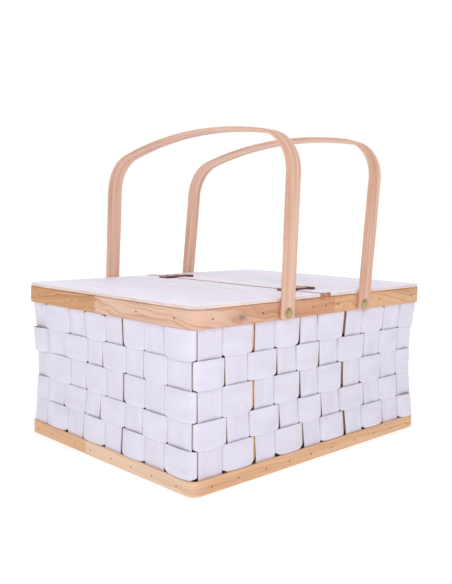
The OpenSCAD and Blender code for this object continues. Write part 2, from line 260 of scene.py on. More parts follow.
class Shader:
    """Short calls for building one node material."""

    def __init__(self, name, roughness=0.5, metallic=0.0):
        self.material = bpy.data.materials.new(name)
        self.material.use_nodes = True
        self.tree = self.material.node_tree
        self.bsdf = self.tree.nodes["Principled BSDF"]
        self.bsdf.inputs["Roughness"].default_value = roughness
        self.bsdf.inputs["Metallic"].default_value = metallic

    def new(self, kind, inputs, **settings):
        """A node with its settings, and its inputs linked or set."""
        made = self.tree.nodes.new("ShaderNode" + kind)
        for key, value in settings.items():
            setattr(made, key, value)
        for key, value in inputs.items():
            if isinstance(value, bpy.types.NodeSocket):
                self.tree.links.new(value, made.inputs[key])
            else:
                made.inputs[key].default_value = value
        return made

    def link(self, value, name):
        self.tree.links.new(value, self.bsdf.inputs[name])

    def attribute(self, name):
        made = self.new("Attribute", {}, attribute_name=name)
        return made.outputs["Vector" if name == "grain" else "Fac"]

    def object_mm(self):
        """The point's place in the object, in millimetres."""
        return self.scaled(self.new("TexCoord", {}).outputs["Object"], (1 / MM,) * 3)

    def scaled(self, vector, scale, turn=0.0):
        turned = (0, 0, math.radians(turn))
        return self.new("Mapping", {"Vector": vector, "Scale": scale, "Rotation": turned}).outputs[0]

    def noise(self, vector, scale=1.0, detail=4.0, roughness=0.6):
        return self.new("TexNoise", {"Vector": vector, "Scale": scale, "Detail": detail,
                                     "Roughness": roughness}).outputs[0]

    def ramp(self, value, *stops):
        made = self.new("ValToRGB", {0: value})
        elements = made.color_ramp.elements
        while len(elements) < len(stops):
            elements.new(0.5)
        for element, (place, colour) in zip(elements, stops):
            element.position = place
            element.color = (*colour, 1)
        return made.outputs[0]

    def rescale(self, value, low, high, to_low=0.0, to_high=1.0):
        return self.new("MapRange", {"Value": value, "From Min": low, "From Max": high,
                                     "To Min": to_low, "To Max": to_high}).outputs[0]

    def math(self, operation, a, b):
        return self.new("Math", {0: a, 1: b}, operation=operation).outputs[0]

    def vector(self, operation, a, b):
        return self.new("VectorMath", {0: a, 1: b}, operation=operation).outputs[0]

    def length(self, vector):
        return self.new("VectorMath", {0: vector}, operation="LENGTH").outputs["Value"]

    def mix(self, share, a, b, blend="MIX"):
        made = self.new("Mix", {}, data_type="RGBA", blend_type=blend)
        for index, value in ((0, share), (6, a), (7, b)):
            if isinstance(value, bpy.types.NodeSocket):
                self.tree.links.new(value, made.inputs[index])
            else:
                made.inputs[index].default_value = value if index == 0 else (*value, 1)
        return made.outputs[2]

    def bump(self, height, depth_mm):
        made = self.new("Bump", {"Height": height, "Distance": depth_mm * MM, "Strength": 1.0})
        self.link(made.outputs[0], "Normal")


def linear(red, green, blue):
    """Linear colour from a 0 to 255 display colour."""
    return tuple(
        c / 255 / 12.92 if c < 10 else ((c / 255 + 0.055) / 1.055) ** 2.4 for c in (red, green, blue)
    )


WALL_WASH = (linear(228, 225, 240), linear(217, 212, 227))
LID_WASH = (linear(242, 240, 254), linear(231, 226, 240))
# Dark colour for dirt and painted shade in the crevices of the weave
CREVICE_DIRT_AND_SHADE = linear(74, 54, 56)


def add_whitewash(shader, wood_colour, grain, share, fibre, thick, thin, wear):
    """Whitewash over bare wood where share is high, thinner along the raised fibres."""
    patchy = shader.noise(shader.scaled(grain, (0.02, 0.05, 0.05)), detail=3.0)
    wash = shader.ramp(patchy, (0.3, thin), (0.7, thick))
    streaked = shader.mix(shader.rescale(fibre, 0.35, 0.75, 0.0, wear), wash, thin)
    worn = shader.math("SUBTRACT", share, shader.rescale(fibre, 0.4, 0.8, 0.0, wear))
    cover = shader.rescale(worn, 0.25, 0.45)
    return shader.mix(cover, wood_colour, streaked)


def add_crevice_dirt_and_shade(shader, colour):
    """Dirt and painted shade deep in the crevices, where tint is high."""
    return shader.mix(shader.math("MULTIPLY", shader.attribute("tint"), 0.85), colour, CREVICE_DIRT_AND_SHADE)


def part_around(shader, grain, ring_place, knots):
    """Growth rings that bend round each knot, and how far, in knot sizes, a point is from it."""
    reaches = []
    for along, across, size, _, _ in knots:
        spot = shader.vector("SUBTRACT", grain, (along, across, 0))
        reach = shader.length(shader.scaled(spot, (0.55 / size, 1 / size, 0)))
        pull = shader.rescale(reach, 0.0, 3.0, -0.8, 0.0)
        parted = shader.new("VectorMath", {0: spot, "Scale": pull}, operation="SCALE").outputs[0]
        ring_place = shader.vector("ADD", ring_place, parted)
        reaches.append(reach)
    return ring_place, reaches


def wood(name, light, mid, dark, second=None, slope=0.0, wave=0.5, rings=0.24, wash=None, wear=0.3,
         from_object=None, gloss=0.5, relief=0.12, knots=(), dirty_shaded_crevices=False):
    """Wood with fine fibres along the grain and wavy growth rings across it. slope turns
    the rings against the strip, second is the tone at tint 1, wash holds the thick and
    thin whitewash, and knots hold a place, a size, a colour and its strength."""
    shader = Shader(name, roughness=gloss)
    if from_object is None:
        grain = shader.attribute("grain")
    else:
        grain = shader.scaled(shader.object_mm(), (1, 1, 1), from_object)
    fibre = shader.noise(shader.scaled(grain, (0.03, 1.3, 1.3)), detail=6.0, roughness=0.65)
    pores = shader.noise(shader.scaled(grain, (0.12, 3.2, 3.2)), detail=2.0)
    bend = shader.noise(shader.scaled(grain, (0.011, 0.03, 0.03)), detail=2.0)
    turned = shader.scaled(grain, (1, 1, 1), slope)
    lift = shader.rescale(bend, 0.0, 1.0, -30 * wave, 30 * wave)
    wavy = shader.new("CombineXYZ", {"Y": lift}).outputs[0]
    shifted, reaches = part_around(shader, grain, shader.vector("ADD", turned, wavy), knots)
    ring = shader.noise(shader.scaled(shifted, (0.004, rings, rings)), detail=3.0, roughness=0.55)
    tone = shader.ramp(ring, (0.3, light), (0.5, mid), (0.62, dark), (0.7, mid))
    if second is not None:
        ruddy = shader.mix(1.0, tone, second, "MULTIPLY")
        tone = shader.mix(shader.attribute("tint"), tone, ruddy)
    darker = shader.rescale(fibre, 0.3, 0.75, 0.0, 0.45)
    colour = shader.mix(darker, tone, tuple(0.72 * c for c in mid))
    for reach, (_, _, _, ink, strength) in zip(reaches, knots):
        rough_edge = shader.math("ADD", reach, shader.rescale(ring, 0.2, 0.8, -0.5, 0.5))
        colour = shader.mix(shader.rescale(rough_edge, 0.2, 1.3, strength, 0.0), colour, ink)
    if wash is not None:
        colour = add_whitewash(shader, colour, grain, shader.attribute("paint"), fibre, *wash, wear)
    # Dirt and painted shade in the crevices, where tint is high
    if dirty_shaded_crevices:
        colour = add_crevice_dirt_and_shade(shader, colour)
    shader.link(colour, "Base Color")
    grooves = shader.math("ADD", fibre, shader.math("MULTIPLY", pores, 0.35))
    shader.link(shader.rescale(grooves, 0.4, 1.0, gloss + 0.12, gloss - 0.08), "Roughness")
    shader.bump(grooves, relief)
    return shader.material


def leather(name):
    """Dark red-brown hinge leather with a pebbled grain, paler where it is rubbed and where a painted
    sheen lies on its top, with painted shade on its dark sides.
    """
    shader = Shader(name, roughness=0.5)
    grain = shader.attribute("grain")
    cells = shader.new("TexVoronoi", {"Vector": grain, "Scale": 1.3}, feature="F1").outputs["Distance"]
    creases = shader.noise(grain, scale=0.9, detail=5.0)
    mottle = shader.noise(grain, scale=0.12, detail=4.0)
    base = shader.ramp(mottle, (0.3, linear(120, 58, 56)), (0.55, linear(150, 84, 78)),
                       (0.75, linear(172, 108, 98)))
    raised = shader.mix(shader.rescale(cells, 0.05, 0.6, 0.3, 0.0), base, linear(96, 44, 42))
    # Rubbed wear and painted sheen, where tint is high
    wear = shader.math("MULTIPLY", shader.attribute("tint"), shader.rescale(creases, 0.3, 0.5))
    rubbed_and_sheen = shader.mix(wear, raised, linear(212, 170, 160))
    # Painted shade: where paint is 0, on the sides and underside, the leather is dark maroon
    edge = shader.mix(shader.attribute("paint"), linear(86, 40, 50), rubbed_and_sheen)
    shader.link(edge, "Base Color")
    shader.link(shader.rescale(creases, 0.3, 0.7, 0.36, 0.56), "Roughness")
    shader.bump(shader.math("ADD", cells, creases), 0.16)
    return shader.material


def metal(name, bright, dull, roughness, scratch_mm):
    """Metal with a patchy tarnish and fine handling marks."""
    shader = Shader(name, roughness=roughness, metallic=1.0)
    place = shader.attribute("grain")
    tarnish = shader.noise(place, scale=0.35, detail=5.0)
    marks = shader.noise(shader.scaled(place, (3.0, 0.4, 1.6)), detail=4.0)
    shader.link(shader.ramp(tarnish, (0.35, bright), (0.7, dull)), "Base Color")
    shader.link(shader.rescale(tarnish, 0.3, 0.75, roughness - 0.1, roughness + 0.15), "Roughness")
    shader.bump(marks, scratch_mm)
    return shader.material


SPLINT_TONES = (linear(232, 196, 158), linear(222, 178, 138), linear(196, 146, 106))
BATTEN_TONES = (linear(236, 204, 170), linear(226, 188, 150), linear(204, 158, 116))

# A dark knot and the ruddy wood round it, on the front wall near the left handle: place
# along the band and up it, size, colour and strength
RIM_KNOTS = (
    (383.0, 187.0, 9.0, linear(186, 134, 112), 0.5),
    (387.0, 186.0, 3.2, linear(132, 108, 104), 0.8),
)

splint = wood("splint", *SPLINT_TONES, rings=0.12, wash=WALL_WASH, gloss=0.55, relief=0.1)
weaver_splint = wood("weaver_splint", *SPLINT_TONES, rings=0.12, wash=WALL_WASH, gloss=0.52, relief=0.06,
                     dirty_shaded_crevices=True)
rim_near = wood("rim_wood_near", linear(236, 203, 182), linear(226, 186, 160), linear(200, 143, 113),
                second=linear(230, 193, 155), slope=5, wave=0.55, gloss=0.42, relief=0.06, knots=RIM_KNOTS)
rim_gold = wood("rim_wood_gold", linear(220, 168, 118), linear(204, 148, 98), linear(176, 113, 68),
                slope=-7, wave=0.5, gloss=0.42, relief=0.06)
rim_pale = wood("rim_wood_pale", linear(234, 188, 146), linear(220, 166, 124), linear(194, 136, 92),
                slope=8, wave=0.7, gloss=0.42, relief=0.06)
base_wood = wood("base_wood", linear(242, 214, 190), linear(236, 202, 174), linear(218, 176, 144),
                 second=linear(246, 220, 188), slope=1, wave=0.2, gloss=0.5, relief=0.06)
batten_wood = wood("batten_wood", *BATTEN_TONES, from_object=0, wave=0.3, gloss=0.6)
end_batten_wood = wood("end_batten_wood", *BATTEN_TONES, from_object=90, wave=0.3, gloss=0.6)
board_wood = wood("board_wood", linear(238, 210, 176), linear(228, 194, 156), linear(206, 164, 122),
                  from_object=0, rings=0.05, wave=0.8, gloss=0.6)
handle_wood = wood("handle_wood", linear(234, 199, 178), linear(224, 180, 156), linear(204, 154, 128),
                   wave=0.12, rings=0.14, gloss=0.45, relief=0.05)
lid_wood = wood("lid_wood", linear(240, 214, 190), linear(230, 196, 168), linear(208, 164, 130),
                rings=0.06, wave=0.8, wash=LID_WASH, wear=0.12, gloss=0.5, relief=0.04)
bar_wood = wood("bar_wood", linear(208, 156, 130), linear(190, 132, 106), linear(160, 102, 80),
                rings=0.2, wash=LID_WASH, wear=0.12, gloss=0.5, relief=0.05)
hinge_leather = leather("hinge_leather")
brass = metal("brass", linear(204, 184, 128), linear(150, 132, 92), 0.42, 0.03)
screw_metal = metal("screw_metal", linear(196, 186, 170), linear(130, 118, 100), 0.38, 0.03)
nail_metal = metal("nail_metal", linear(150, 116, 92), linear(104, 72, 54), 0.55, 0.05)


# ---- Woven wall --------------------------------------------------------

LONG_PITCH, SHORT_PITCH = 40.4, 40.0
ROW_EDGES = (178.0, 144.8, 112.8, 78.8, 48.8, 17.0)
WEAVE_DEPTH = 0.95
STAKE_SWAY = 0.5
NEAR_WAIST, FAR_WAIST, WAIST_RUN = 0.8, 6.0, 330
SPLINT_EDGE = 0.35
PATH_R = 7
DIVE = 2.2
WALL_HEIGHT = RIM_BOTTOM - BASE_TOP
WALL_MIDDLE = (RIM_BOTTOM + BASE_TOP) / 2

# The stakes of the two walls nearest the camera: place along the wall, width, and how far
# each one leans sideways from bottom to top
LEFT_STAKES = [
    (146, 29, 0), (112, 37, -4), (59.5, 33, -6), (23, 29, -12),
    (-20.5, 31, -2.5), (-59.7, 31, -5.5), (-97.6, 33, 1), (-140, 38, 1),
]
FRONT_STAKES = [
    (-183.2, 34, -2), (-142.5, 33, -10), (-98.7, 31.5, -5), (-58.3, 31.4, -14), (-18.5, 30, -12.5),
    (21, 33.5, -16), (68.4, 32.8, -6), (111.1, 32.8, -5), (151.3, 34.4, -4.5), (188, 30, -4),
]

# Over spans that begin or end short of the next stake: how much of the gap stays open,
# and how much unpainted wood shows, by the stake under the span
OPEN_STARTS = {5: (2.6, 0.0), 24: (2.0, 0.5)}
OPEN_ENDS = {9: (0.5, 4.4), 11: (1.0, 0.4), 13: (4.2, 2.6), 21: (2.5, 2.0), 30: (3.0, 1.5)}

# Over spans that wrap a corner stand out further, and two of them, by stake and row, furthest
CORNER_STAKES = (0, 7, 8, 17, 18, 25, 26, 35)
PROUD_SPANS = {(0, 2): 7.0, (17, 5): 5.0}


def regular_stakes(count, pitch, seed):
    """Stakes at a steady pitch with small random differences."""
    draw = random.Random(seed)
    return [((i - (count - 1) / 2) * pitch + draw.uniform(-2.5, 2.5), 33 + draw.uniform(-1.5, 1.5),
             draw.uniform(-5, 3)) for i in range(count)]


# Each wall's stakes, in order round the basket from the far end of the left wall
WALL_STAKES = {
    "left": LEFT_STAKES,
    "front": FRONT_STAKES,
    "right": regular_stakes(8, SHORT_PITCH, 11),
    "back": regular_stakes(10, LONG_PITCH, 12)[::-1],
}
FACING = {"left": (-1, 0), "front": (0, -1), "right": (1, 0), "back": (0, 1)}


def on_wall(wall, half, at):
    """Flat place of a point on one wall of a rectangle, and the directions along and out of the wall."""
    out = np.array(FACING[wall], float)
    step = np.abs(out[::-1])
    return at * step + out * np.array(half), step, out


def loop_length(half, radius):
    """Distance once round a rounded rectangle."""
    return 4 * (half[0] + half[1] - 2 * radius) + 2 * math.pi * radius


def loop_distance(half, radius, wall, at):
    """Distance along a rounded rectangle of a place on one of its walls."""
    lx, ly, arc = 2 * (half[0] - radius), 2 * (half[1] - radius), math.pi * radius / 2
    return {
        "left": ly / 2 - at,
        "front": ly + arc + lx / 2 + at,
        "right": ly + lx + 2 * arc + ly / 2 + at,
        "back": 2 * ly + lx + 3 * arc + lx / 2 - at,
    }[wall]


def round_loop(half, radius, s):
    """Points and outward directions on a rounded rectangle, at distances s from the
    far end of the left wall, through the front, right and back walls."""
    lx, ly, arc = 2 * (half[0] - radius), 2 * (half[1] - radius), math.pi * radius / 2
    cx, cy = half[0] - radius, half[1] - radius
    s = np.mod(s, loop_length(half, radius))
    spans = [(ly, (-half[0], cy), (0, -1), 180), (lx, (-cx, -half[1]), (1, 0), 270),
             (ly, (half[0], -cy), (0, 1), 0), (lx, (cx, half[1]), (-1, 0), 90)]
    corners = [(-cx, -cy), (cx, -cy), (cx, cy), (-cx, cy)]
    place, out = np.zeros((len(s), 3)), np.zeros((len(s), 3))
    start = 0.0
    for (length, origin, step, facing), centre in zip(spans, corners):
        on = (s >= start) & (s < start + length)
        t = (s - start)[on, None]
        place[on, :2] = np.array(origin) + t * np.array(step)
        turn = math.radians(facing)
        out[on, :2] = (math.cos(turn), math.sin(turn))
        start += length
        on = (s >= start) & (s < start + arc)
        turn = np.radians(facing) + (s - start)[on] / radius
        normal = np.stack([np.cos(turn), np.sin(turn)], -1)
        place[on, :2] = np.array(centre) + radius * normal
        out[on, :2] = normal
        start += arc
    return place, out


def stake_table():
    """Every stake in order round the wall: distance along the loop, half width, lean along it."""
    rows = []
    for wall, stakes in WALL_STAKES.items():
        way = 1 if wall in ("front", "right") else -1
        rows += [(loop_distance(WALL_HALF, PATH_R, wall, at), width / 2, way * lean)
                 for at, width, lean in stakes]
    return rows


STAKES = stake_table()
LOOP = loop_length(WALL_HALF, PATH_R)
NEAR_CORNER = 2 * (WALL_HALF[1] - PATH_R) + math.pi * PATH_R / 4


def waist(s, z):
    """How far the wall is drawn in at a place and height: least at the front left corner."""
    apart = np.abs(np.mod(s - NEAR_CORNER + LOOP / 2, LOOP) - LOOP / 2)
    share = np.clip((z - BASE_TOP) / WALL_HEIGHT, 0, 1)
    return (NEAR_WAIST + (FAR_WAIST - NEAR_WAIST) * smooth(apart / WAIST_RUN)) * np.sin(math.pi * share)


def weaver_over(stake, row):
    """True where this row's weaver passes outside this stake."""
    return (stake + row) % 2 == 0


def stake_sway(stake, z):
    """How far out a stake sits at each height, pressed to and fro by the weavers."""
    sway = np.zeros_like(z)
    for row in range(1, 6):
        top, bottom = ROW_EDGES[row - 1], ROW_EDGES[row]
        inside = smooth((z - bottom + 2.5) / 5) * smooth((top + 2.5 - z) / 5)
        sway += inside * (-STAKE_SWAY if weaver_over(stake, row) else STAKE_SWAY)
    return sway * smooth((z - BASE_TOP + 1) / 5) * smooth((RIM_BOTTOM - 1 - z) / 4)


def stake_paint(stake, z):
    """Paint on the parts of a stake that show outside."""
    share = np.zeros_like(z)
    for row in range(1, 6):
        if not weaver_over(stake, row):
            top, bottom = ROW_EDGES[row - 1], ROW_EDGES[row]
            share = np.maximum(share, smooth((z - bottom + 2.5) / 2) * smooth((top + 2.5 - z) / 2))
    return share


def fibre_ribs(draw, half):
    """A few soft upright ribs across a stake, as a function of the distance across."""
    ribs = []
    for _ in range(5):
        ribs.append((draw.uniform(-half + 3, half - 3), draw.uniform(0.8, 2.0), draw.uniform(-0.16, 0.2)))

    def height(a):
        return sum(rise * np.exp(-((a - at) / wide) ** 2) for at, wide, rise in ribs)

    return height


def build_stakes(wall, first):
    """One wall's upright splints, the first of them at this place in the table."""
    piece = Piece(f"stakes_{wall}")
    z = np.linspace(0.6, STAKE_TOP, 120)
    for stake, (centre, width, lean) in enumerate(WALL_STAKES[wall], first):
        draw = random.Random(100 + stake)
        rib = fibre_ribs(draw, width / 2)
        place, step, out = on_wall(wall, WALL_HALF, centre)
        origin = np.column_stack([np.tile(place, (len(z), 1)), z])
        mid = stake_sway(stake, z) - waist(STAKES[stake][0], z)
        wander = lean * (z - WALL_MIDDLE) / WALL_HEIGHT
        wander += 0.25 * np.sin(z / draw.uniform(28, 45) + draw.uniform(0, 6))
        narrow = 1.2 * smooth((z - RIM_BOTTOM) / 12)
        piece.sweep(
            FINE, origin, (*out, 0.0), (*step, 0.0),
            wander - width / 2 + narrow, wander + width / 2 - narrow,
            mid - STAKE_T / 2, mid + STAKE_T / 2, SPLINT_EDGE, z, tint=0.0, seed=stake + 1.0,
            paint=stake_paint(stake, z), relief=lambda across, outward: rib(across) * outward,
        )
    piece.make(splint, "painted_splint", "basket", piece.name)


def build_all_stakes():
    first = 0
    for wall, stakes in WALL_STAKES.items():
        build_stakes(wall, first)
        first += len(stakes)


def over_spans(row):
    """Where this row's weaver runs outside: stake, start and end between its neighbours' edges."""
    height = (ROW_EDGES[row - 1] + ROW_EDGES[row]) / 2
    reach = (ROW_EDGES[row - 1] - ROW_EDGES[row]) / 2 / WALL_HEIGHT
    total = len(STAKES)

    def edge(stake, side):
        centre, half, lean = STAKES[stake % total]
        shift = lean * (height - WALL_MIDDLE) / WALL_HEIGHT
        return centre + shift + side * (half + abs(lean) * reach)

    spans = []
    for stake in range(total):
        if weaver_over(stake, row):
            start = edge(stake - 1, 1)
            spans.append((stake, start, np.mod(edge(stake + 1, -1) - start, LOOP)))
    return spans


def weaver_stations(row):
    """Distances along the loop, close together where the weaver dives beside a stake."""
    near = np.concatenate([np.arange(0, 1.3, 0.2), np.arange(1.5, 4, 0.5), np.arange(4, 10, 1.0)])
    s = list(np.arange(0, LOOP, 3.5))
    for _, start, length in over_spans(row):
        s += list(start + near) + list(start + length - near) + [start - 1, start + length + 1]
    return np.unique(np.round(np.mod(s, LOOP), 2))


def span_end(stake, row, openings, draw):
    """At one end of an over span: the open gap, the bare wood beside it, and how deep
    the weaver's lower and upper corners are cut back."""
    gap, bare = openings.get(stake, (0.0, 0.0))
    gap *= draw.uniform(0.75, 1.25)
    slit = draw.choice((0.1, 0.6, 1.0, 1.7)) + (1.6 if gap else 0.0) + (1.6 if row == 5 else 0.0)
    notch = draw.choice((0.0, 0.3, 0.9)) * (2.5 if row == 1 else 1)
    return gap, bare, slit, notch


def weaver_line(row, s, draw):
    """Offset out, low edge, high edge, paint, and crevice dirt with painted shade, of a weaver at
    distances s along the loop.
    """
    top, bottom = ROW_EDGES[row - 1], ROW_EDGES[row]
    offset, painted, dirt_and_shade = np.full_like(s, -WEAVE_DEPTH), np.zeros_like(s), np.ones_like(s)
    low, high = np.full_like(s, bottom + 0.8), np.full_like(s, top - 0.5)
    for stake, start, length in over_spans(row):
        bulge = draw.uniform(2.6, 3.6) if stake in CORNER_STAKES else draw.uniform(1.3, 2.5)
        bulge = PROUD_SPANS.get((stake, row), bulge)
        drop, rise = draw.uniform(1.2, 2.6), draw.uniform(0.0, 0.6)
        t = np.mod(s - start + LOOP / 4, LOOP) - LOOP / 4
        on = (t >= 0) & (t <= length)
        crown = 1 - (2 * t[on] / length - 1) ** 2
        up, bright, end_dirt_and_shade = np.ones_like(crown), np.ones_like(crown), np.zeros_like(crown)
        for from_end, openings in ((t, OPEN_STARTS), (length - t, OPEN_ENDS)):
            gap, bare, slit, notch = span_end(stake, row, openings, draw)
            inside = from_end[on]
            up *= smooth((inside - gap) / DIVE)
            bright *= smooth((inside - gap - bare - 0.1) / 0.3)
            # Dirt and painted shade in the crevice where the weaver dives beside a stake, full in the open
            # gaps
            shaded = 1 - smooth((inside - 0.7 * gap - 0.1) / 0.5)
            end_dirt_and_shade = np.maximum(end_dirt_and_shade, shaded * (1.0 if gap else 0.35))
            slit_reach = 12 if row == 5 else 3 + 3 * slit
            low += slit * smooth(1 - np.abs(from_end) / slit_reach)
            high -= notch * smooth(1 - np.abs(from_end) / (3 + 3 * notch))
        offset[on] += 2 * WEAVE_DEPTH * up + bulge * crown * up
        painted[on], dirt_and_shade[on] = bright, end_dirt_and_shade
        low[on] -= drop * crown ** 0.7
        high[on] += rise * crown
    return offset, low, high, painted, dirt_and_shade


def build_weaver(row):
    """One splint hoop woven in and out of all the stakes."""
    draw = random.Random(40 + row)
    s = weaver_stations(row)
    origin, out = round_loop(WALL_HALF, PATH_R, s)
    offset, low, high, painted, dirt_and_shade = weaver_line(row, s, draw)
    if row == 5:
        low = np.maximum(low, BASE_TOP + 0.35)
    if row == 1:
        high = np.minimum(high, RIM_BOTTOM + 0.4)
    cup = np.where(offset > 0, -0.5, -0.15)[:, None]
    middle, reach = ((low + high) / 2)[:, None], ((high - low) / 2)[:, None]

    def relief(height, _):
        return cup * np.abs((height - middle) / reach) ** 6 - waist(s[:, None], height)

    piece = Piece(f"weaver_{row}")
    # tint carries the crevice dirt and painted shade, darkest on the weaver's hidden parts
    piece.sweep(
        PLAIN, origin, out, UP, low, high, offset - STAKE_T / 2, offset + STAKE_T / 2, SPLINT_EDGE, s,
        seed=50.0 + row, paint=painted, edge_paint=0.9 * painted[:, None], tint=dirt_and_shade, inner_tint=0.0,
        relief=relief, closed=True,
    )
    piece.make(weaver_splint, "painted_splint", "basket", piece.name)


build_all_stakes()
for weaver_row in range(1, 6):
    build_weaver(weaver_row)


# ---- Bands -------------------------------------------------------------

LAP, LAP_STEP = 30, 0.05
RIM_LAP_X, RIM_LAP_Y, BASE_LAP_Y = 16, 10, 34


def band_stations(half, radius, start, end, start_cuts, end_cuts):
    """Distances along a band, close together at its laps and near its cut ends."""
    end = start + (end - start) % loop_length(half, radius)
    laps = [start + LAP, start + LAP + LAP_STEP, end - LAP, end - LAP - LAP_STEP]
    cuts = [start + cut for cut in start_cuts] + [end - cut for cut in end_cuts]
    return np.unique(np.concatenate([np.arange(start, end, 4.0), [end], laps, cuts]))


def ripples(s, height, seed):
    """The slight unevenness of a band's edges."""
    draw = random.Random(seed)
    return height * np.sin(s / draw.uniform(35, 60) + draw.uniform(0, 6))


def make_band(name, half, radius, s, heights, inner, outer, edge, tint, material, slot):
    """A flat band round the wall, between its inner and outer faces."""
    origin, out = round_loop(half, radius, s)
    piece = Piece(name)
    piece.sweep(PLAIN, origin, out, UP, *heights, inner, outer,
                np.minimum(edge, (outer - inner) * 0.45), s, tint=tint)
    piece.make(material, slot, "basket", name)


def build_rim_band(name, start, end, outer_laps, material, seed, tints):
    """One rim strip. At both laps it keeps half its thickness: the outer half, or the inner."""
    cuts = (0.4, 1.2, 2.5)
    s = band_stations(RIM_HALF, RIM_R, start, end, cuts, cuts)
    from_end = np.minimum(s - s[0], s[-1] - s)
    lapped = from_end <= LAP + LAP_STEP / 2
    inner, outer = np.full_like(s, -RIM_T), np.zeros_like(s)
    if outer_laps:
        inner[lapped] = -RIM_T / 2 + 0.1
        outer += 0.35 * smooth(1 - from_end / 18) - 0.5 * smooth(1 - from_end / 1.2)
    else:
        outer[lapped] = -RIM_T / 2 - 0.1
    waves = ripples(s, 0.22, seed)
    share = (s - s[0]) / (s[-1] - s[0])
    tint = tints[0] + (tints[1] - tints[0]) * smooth((share - 0.35) / 0.6)
    make_band(name, RIM_HALF, RIM_R, s, (RIM_BOTTOM + waves * 0.4, RIM_TOP + waves * 0.2), inner, outer,
              0.9, tint, material, "rim_band_wood")


def build_rim():
    """Four strips, lapped at the middle of each wall."""
    laps = (("left", RIM_LAP_Y), ("front", RIM_LAP_X), ("right", -RIM_LAP_Y), ("back", -RIM_LAP_X))
    left, front, right, back = (loop_distance(RIM_HALF, RIM_R, wall, at) for wall, at in laps)
    build_rim_band("rim_band_front_left", left, front, True, rim_near, 1, (0.05, 0.95))
    build_rim_band("rim_band_front_right", front - LAP, right + LAP, False, rim_pale, 2, (0.4, 0.6))
    build_rim_band("rim_band_back_right", right, back, True, rim_near, 3, (0.8, 0.2))
    build_rim_band("rim_band_back_left", back - LAP, left + LAP, False, rim_gold, 4, (0.5, 0.5))


def build_base_band(name, start, end, seed):
    """Half of the base band. Its start laps over the other half, and its end runs under it."""
    s = band_stations(BASE_HALF, BASE_R, start, end, (0.4, 1.2), ())
    along = s - s[0]
    inner, outer = np.full_like(s, -BASE_T), np.zeros_like(s)
    inner[along <= LAP + LAP_STEP / 2] = -BASE_T / 2 + 0.05
    outer[s[-1] - s <= LAP + LAP_STEP / 2] = -BASE_T / 2 - 0.05
    outer += 0.3 * smooth(1 - along / 16) - 0.4 * smooth(1 - along / 1.2)
    front_from = loop_distance(BASE_HALF, BASE_R, "front", BASE_R - BASE_HALF[0])
    tint = 0.1 + 0.8 * smooth((s - front_from + 20) / 30)
    make_band(name, BASE_HALF, BASE_R, s, (0.0, BASE_TOP + ripples(s, 0.06, seed)), inner, outer,
              0.8, tint, base_wood, "base_band_wood")


def build_base_bands():
    """Two halves, lapped at the middle of the end walls."""
    left = loop_distance(BASE_HALF, BASE_R, "left", BASE_LAP_Y)
    right = loop_distance(BASE_HALF, BASE_R, "right", -BASE_LAP_Y)
    build_base_band("base_band_front", left, right + LAP, 5)
    build_base_band("base_band_back", right, left + LAP, 6)


build_rim()
build_base_bands()


# ---- Nails -------------------------------------------------------------

NAIL_HEAD, NAIL_SHANK = 1.05, 0.6
BASE_NAIL_Z = 7.5
RIM_NAIL_Z = (RIM_BOTTOM + RIM_TOP) / 2
RIM_NAILS_LONG = (-186, -110, -24, 0, 24, 110, 186)
RIM_NAILS_SHORT = (-138, -72, 58, 138)
LAP_NAIL, BAR_NAIL = (7, 5), (4.5, 159.5)


def nail(piece, point, direction, length, proud):
    """A wire nail with a slightly domed head, standing proud of the surface at point."""
    profile = [(0, -proud), (0.7 * NAIL_HEAD, 0.05 - proud), (NAIL_HEAD, 0.2 - proud), (NAIL_HEAD, 0.5),
               (NAIL_SHANK, 0.7), (NAIL_SHANK, length - 1.5), (0, length)]
    piece.lathe(point, direction, profile, segments=16, seed=point[0] + point[1])


def wall_nails(piece, half, spots, length, proud):
    """Nails at (wall, place along it, height)."""
    for wall, at, z in spots:
        place, _, out = on_wall(wall, half, at)
        nail(piece, (*place, z), (*-out, 0), length, proud)


def build_rim_nails():
    """A row along each wall, and a pair at each lap of the end walls."""
    spots = []
    for sign, long_wall, end_wall in ((1, "front", "left"), (-1, "back", "right")):
        spots += [(long_wall, sign * x, RIM_NAIL_Z) for x in RIM_NAILS_LONG]
        spots += [(end_wall, sign * y, RIM_NAIL_Z) for y in RIM_NAILS_SHORT]
        spots += [(end_wall, sign * LAP_NAIL[0], RIM_NAIL_Z + dz) for dz in (-LAP_NAIL[1], LAP_NAIL[1])]
    piece = Piece("rim_nails")
    wall_nails(piece, RIM_HALF, spots, 11.5, 0.45)
    piece.make(nail_metal, "nail_steel", "basket", "rim_nails")


def build_base_nails():
    """One nail through the base band into each stake."""
    spots = [(wall, at, BASE_NAIL_Z) for wall, stakes in WALL_STAKES.items() for at, _, _ in stakes]
    piece = Piece("base_nails")
    wall_nails(piece, BASE_HALF, spots, 16.0, 0.3)
    piece.make(nail_metal, "nail_steel", "basket", "base_nails")


def build_bar_nails():
    """Two nails through each end of the centre bar."""
    piece = Piece("bar_nails")
    for x in (-BAR_NAIL[0], BAR_NAIL[0]):
        for y in (-BAR_NAIL[1], BAR_NAIL[1]):
            nail(piece, (x, y, BAR_TOP), (0, 0, -1), 14.0, 0.12)
    piece.make(nail_metal, "nail_steel", "basket", "bar_nails")


build_rim_nails()
build_base_nails()
build_bar_nails()


# ---- Lids, bar, base board and battens ---------------------------------

LID_R, LID_INNER_R = 14, 1.2


